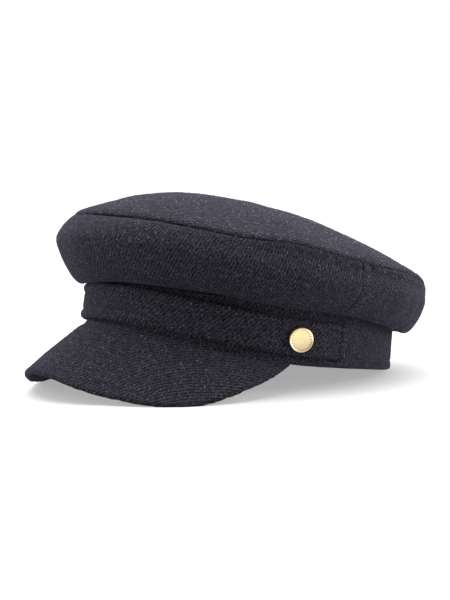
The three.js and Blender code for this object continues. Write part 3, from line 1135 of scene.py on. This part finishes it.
def build_cap():
    """Every piece of the cap."""
    wool = wool_twill("wool_twill", "#030304", "#27262e", "#63626e")
    thread = sewing_thread()
    brass = gilt_brass()
    front = crown_side("crown_side_front_cloth", -PANEL_SEAM, PANEL_SEAM, 340, GRAIN_SIDE, 11)
    back = crown_side("crown_side_back_cloth", PANEL_SEAM, 360 - PANEL_SEAM, 270, GRAIN_BACK, 19)
    fibres = loose_wool()
    panels = (
        dict(piece=front, node="crown_side_front", fibres=3200),
        dict(piece=back, node="crown_side_back", fibres=2500),
        dict(piece=crown_top(), node="crown_top", fibres=21000),
        dict(piece=headband(), node="headband", fibres=2000),
        dict(piece=strap(), node="strap", fibres=2100),
        dict(piece=peak(), node="peak", fibres=4500),
    )
    for seed, panel in enumerate(panels):
        dressed(panel["piece"], wool, "wool_twill", panel["node"])
        dressed(nap(panel["piece"], panel["fibres"], seed), fibres, "wool_twill")
    dressed(button("button_left_gilt", 1), brass, "gilt_brass", "button_left")
    dressed(button("button_right_gilt", -1), brass, "gilt_brass", "button_right")
    face = GAP + STRAP_WALL - STRAP_SUNK
    rows = (
        ("strap_stitches_low", -STRAP_REACH + 3, STRAP_REACH - 3, face, STRAP_STITCH),
        ("strap_stitches_high", -STRAP_REACH + 3, STRAP_REACH - 3, face, STRAP_HEIGHT - STRAP_STITCH),
    )
    for name, first, last, out, height in rows:
        line = stitches_along(name, first, last, lambda t: (out, strap_foot(t) + height))
        dressed(line, thread, "wool_twill")
    hem = stitches_along(
        "headband_hem_stitches",
        STRAP_REACH - 4,
        364 - STRAP_REACH,
        lambda t: (-HEM_SUNK, band_edge(t) + BAND_HEM),
    )
    dressed(hem, thread, "wool_twill")


def build_floor():
    """A plain pale floor, far larger than the view."""
    mesh = bmesh.new()
    bmesh.ops.create_grid(mesh, x_segments=8, y_segments=8, size=12)
    floor = object_from(mesh, "studio_floor")
    floor.data.materials.append(lit_acrylic())


# Lights: where they stand in metres, their strength, and the sun's spread or the others' width
LIGHTS = (
    dict(name="soft_light_above", kind="SUN", place=(-0.35, 0.15, 1.9), strength=7.4, angle=math.radians(80)),
    dict(name="soft_light_left", kind="AREA", place=(-0.6, -1.15, 0.6), strength=14, size=0.8),
    dict(name="soft_light_right", kind="AREA", place=(0.75, 1.0, 0.4), strength=18, size=0.8),
    dict(name="soft_light_front", kind="AREA", place=(0.5, -1.1, 1.5), strength=3.5, size=0.8),
    dict(name="soft_light_low", kind="AREA", place=(1.6, 0, 0.28), strength=0.6, size=0.6),
)
LIT_HEIGHT = 0.06


def add_light(name, kind, place, strength, **settings):
    """A light at a place that looks at the middle of the cap."""
    data = bpy.data.lights.new(name, kind)
    data.energy = strength
    for setting, value in settings.items():
        setattr(data, setting, value)
    lamp = bpy.data.objects.new(name, data)
    lamp.location = place
    ahead = Vector((0, 0, LIT_HEIGHT)) - Vector(place)
    lamp.rotation_euler = ahead.to_track_quat("-Z", "Y").to_euler()
    bpy.context.scene.collection.objects.link(lamp)


def build_light():
    """Plain soft studio light: a large soft light above, softer ones round the cap, and a white room."""
    world = bpy.data.worlds.new("studio_room")
    bpy.context.scene.world = world
    world.use_nodes = True
    tree = world.node_tree
    tree.nodes.clear()
    fill = add_node(tree, "ShaderNodeBackground", {}, {"Color": linear("#ffffff"), "Strength": 0.22})
    seen = add_node(tree, "ShaderNodeBackground", {}, {"Color": linear("#ffffff"), "Strength": 1.0})
    ray = add_node(tree, "ShaderNodeLightPath").outputs["Is Camera Ray"]
    room = add_node(
        tree, "ShaderNodeMixShader", {}, {0: ray, 1: fill.outputs[0], 2: seen.outputs[0]}
    ).outputs[0]
    add_node(tree, "ShaderNodeOutputWorld", {}, {"Surface": room})
    for light in LIGHTS:
        add_light(**light)
    bpy.context.scene.view_settings.view_transform = "Standard"


# Camera, as the photograph was taken: angles in degrees, places in metres
AZIMUTH = 57.12
ELEVATION = 5.98
ROLL = -1.10
DISTANCE = 1.400
LENS = 130.1
TARGET = Vector((-0.00403, 0.00363, 0.05094))


def build_camera():
    """The camera at the photograph's viewing angle."""
    azimuth = math.radians(AZIMUTH)
    elevation = math.radians(ELEVATION)
    roll = math.radians(ROLL)
    right = Vector((math.cos(azimuth), math.sin(azimuth), 0))
    level = Vector((math.sin(azimuth), -math.cos(azimuth), 0))
    back = level * math.cos(elevation) + Vector((0, 0, math.sin(elevation)))
    up = back.cross(right)
    rolled_right = right * math.cos(roll) + up * math.sin(roll)
    rolled_up = up * math.cos(roll) - right * math.sin(roll)
    data = bpy.data.cameras.new("photo_camera")
    data.sensor_fit = "AUTO"
    data.sensor_width = 36
    data.lens = LENS
    data.clip_start = 0.05
    data.clip_end = 60
    camera = bpy.data.objects.new("photo_camera", data)
    bpy.context.scene.collection.objects.link(camera)
    turned = Matrix((rolled_right, rolled_up, back)).transposed().to_4x4()
    camera.matrix_world = Matrix.Translation(TARGET + back * DISTANCE) @ turned
    bpy.context.scene.camera = camera


build_cap()
build_floor()
build_light()
build_camera()
